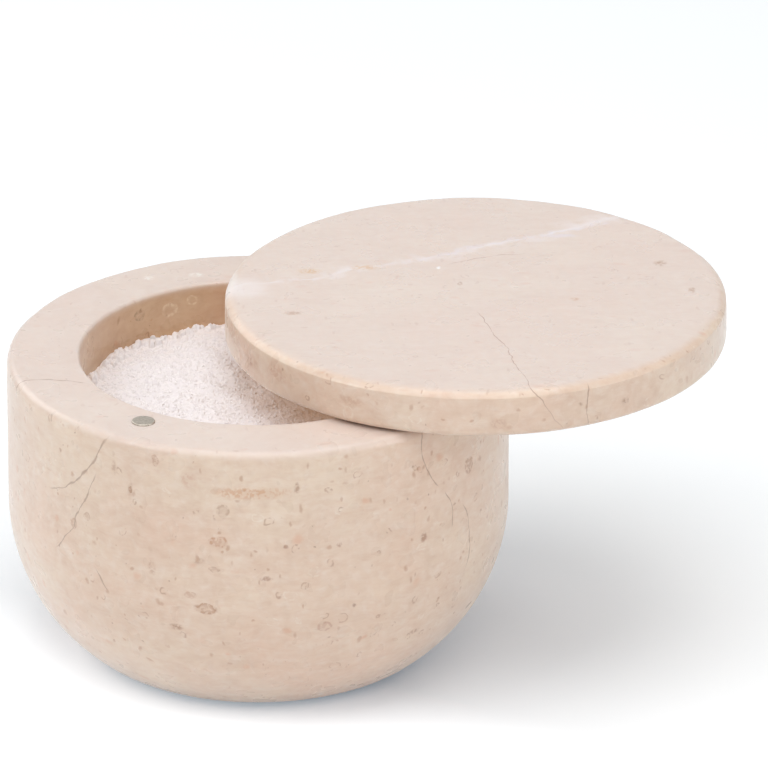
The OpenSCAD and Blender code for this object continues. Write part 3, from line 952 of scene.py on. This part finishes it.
# Studio: white floor, a big soft light overhead, weaker ones round it, white all round
studio = {
    "worldLevel": 0.43,
    "lamps": [  # name, place, size and power
        ("topLamp", (0.0, -0.15, 1.15), 1.00, 5.0),
        ("frontLamp", (0.05, -0.80, 0.95), 0.90, 2.4),
        ("leftLamp", (-0.90, -0.50, 0.95), 0.80, 3.9),
        ("rightLamp", (1.05, -0.45, 0.50), 0.70, 2.7),
        ("backLamp", (-0.80, 0.70, 0.70), 0.80, 2.7),
    ],
    "lampAim": (0.02, 0.0, 0.04),
    "floorHalf": 3.0,      # half its side, m
    "floorTint": "#F2F2F2",
    "floorLook": "#F9F9F9",
    # The floor's glow, seen but lighting nothing, near the bowl and further out: weaker and cool near the
    # bowl, painted shade that deepens the shadow there and cancels the warm light that the stone throws into
    # it
    "glowNear": (0.02, 0.07, 0.115, 1.0),
    "glowFar": (0.13, 0.16, 0.18, 1.0),
    "glowFrom": 0.045,
    "glowTo": 0.105,
    # A painted pool of light, a glow that is seen but lights nothing, lifts the floor at the front and left:
    # direction, where it begins and is full, strength
    "paintedPoolAlong": (-0.5, -0.866, 0.0),
    "paintedPoolFrom": 0.006,
    "paintedPoolTo": 0.045,
    "paintedPoolGlow": 0.37,
}


# 1 for what the camera sees, also in a shine or through something clear, and 0 for what lights the scene
def seenMask(tree):
    rays = addNode(tree, "ShaderNodeLightPath")
    seen = rays.outputs["Is Camera Ray"]
    for ray in ("Is Glossy Ray", "Is Transmission Ray"):
        either = addNode(tree, "ShaderNodeMath", {0: seen, 1: rays.outputs[ray]}, operation="MAXIMUM")
        seen = either.outputs[0]
    return seen


def buildFloor():
    bm = bmesh.new()
    bmesh.ops.create_grid(bm, x_segments=1, y_segments=1, size=studio["floorHalf"])
    material, tree = newMaterial("paleFloor")
    matt = addNode(tree, "ShaderNodeBsdfDiffuse", {"Color": toLinear(studio["floorTint"])})
    look = addNode(tree, "ShaderNodeBsdfDiffuse", {"Color": toLinear(studio["floorLook"])})
    place = addNode(tree, "ShaderNodeTexCoord")
    along = addNode(tree, "ShaderNodeVectorMath", {
        0: place.outputs["Object"], 1: studio["paintedPoolAlong"]}, operation="DOT_PRODUCT")
    # Painted pool of light on the floor at the front and left, seen but lighting nothing
    paintedPool = addNode(tree, "ShaderNodeMapRange", {
        "Value": along.outputs["Value"], "From Min": studio["paintedPoolFrom"], "From Max": studio["paintedPoolTo"],
        "To Max": studio["paintedPoolGlow"]})
    # Painted shade: the floor's seen-only glow is weaker and cooler near the bowl
    away = addNode(tree, "ShaderNodeVectorMath", {0: place.outputs["Object"]}, operation="LENGTH")
    outer = addNode(tree, "ShaderNodeMapRange", {
        "Value": away.outputs["Value"], "From Min": studio["glowFrom"], "From Max": studio["glowTo"]})
    tone = addNode(tree, "ShaderNodeMix", {
        0: outer.outputs[0], 6: studio["glowNear"], 7: studio["glowFar"]}, data_type="RGBA")
    lift = addNode(tree, "ShaderNodeEmission", {"Color": tone.outputs[2], "Strength": 1.0})
    more = addNode(tree, "ShaderNodeEmission", {"Strength": paintedPool.outputs[0]})
    glow = addNode(tree, "ShaderNodeAddShader", {0: lift.outputs[0], 1: more.outputs[0]})
    glowing = addNode(tree, "ShaderNodeAddShader", {0: look.outputs[0], 1: glow.outputs[0]})
    mixed = addNode(tree, "ShaderNodeMixShader", {
        0: seenMask(tree), 1: matt.outputs[0], 2: glowing.outputs[0]})
    addNode(tree, "ShaderNodeOutputMaterial", {"Surface": mixed.outputs[0]})
    floor = pieceFromBmesh(bm, "floor", material)


def buildWorld():
    world = bpy.data.worlds.new("whiteRoom")
    bpy.context.scene.world = world
    world.use_nodes = True
    tree = world.node_tree
    tree.nodes.clear()
    level = addNode(tree, "ShaderNodeMapRange", {"Value": seenMask(tree), "To Min": studio["worldLevel"]})
    sky = addNode(tree, "ShaderNodeBackground", {"Strength": level.outputs[0]})
    addNode(tree, "ShaderNodeOutputWorld", {"Surface": sky.outputs[0]})


def addLamp(name, place, size, power):
    lamp = bpy.data.lights.new(name, "AREA")
    lamp.shape = "DISK"
    lamp.size = size
    lamp.energy = power
    holder = bpy.data.objects.new(name, lamp)
    holder.location = place
    aim = Vector(studio["lampAim"]) - Vector(place)
    holder.rotation_euler = aim.to_track_quat("-Z", "Y").to_euler()
    bpy.context.scene.collection.objects.link(holder)


# Fitted to the photograph: a long lens, far off
camera = {
    "place": (0.02757, -2.17865, 1.02566),
    "tilt": 66.13,         # from straight down, degrees
    "lens": 509.8,
    "sensor": 36.0,
    "clipEnd": 20.0,       # m, beyond the floor's far side
}


def addCamera():
    data = bpy.data.cameras.new("camera")
    data.lens, data.sensor_width = camera["lens"], camera["sensor"]
    data.clip_end = camera["clipEnd"]
    holder = bpy.data.objects.new("camera", data)
    holder.location = camera["place"]
    holder.rotation_euler = (math.radians(camera["tilt"]), 0, 0)
    bpy.context.scene.collection.objects.link(holder)
    bpy.context.scene.camera = holder


buildFloor()
buildWorld()
for lamp in studio["lamps"]:
    addLamp(*lamp)
addCamera()
bpy.context.scene.view_settings.view_transform = "Standard"
print("studio set")
